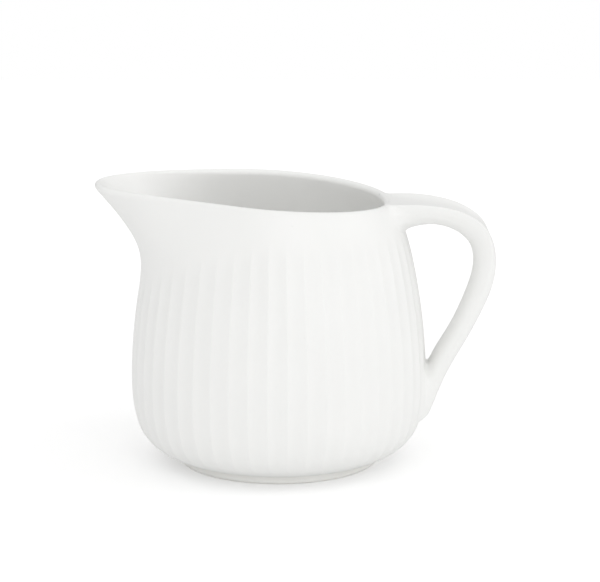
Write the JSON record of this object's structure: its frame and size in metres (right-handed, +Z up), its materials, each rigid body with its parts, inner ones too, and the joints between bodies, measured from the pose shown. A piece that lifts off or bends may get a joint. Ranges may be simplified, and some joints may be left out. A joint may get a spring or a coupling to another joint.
{
  "type": "porcelain cream jug",
  "caption": "Small round porcelain cream jug with a fluted body, a drawn-out pouring lip, a low foot ring and a channelled strap handle that grows out of the rim.",
  "frame": {"origin": "centre of the foot ring's ground face, on the table", "axes": "+Z up along the body's axis, +X towards the handle, -X towards the pouring lip; the jug is symmetric about the XZ plane"},
  "size_m": [0.1346, 0.099, 0.095],
  "materials": {
    "white_glaze": "soft satin white glaze over white porcelain",
    "biscuit": "white porcelain, its ground standing edge unglazed"
  },
  "bodies": {
    "root": {"jug_body": "white_glaze", "handle": "white_glaze", "upper_handle_joint": "white_glaze", "lower_handle_joint": "white_glaze", "foot_ring": "biscuit"}
  },
  "joints": []
}
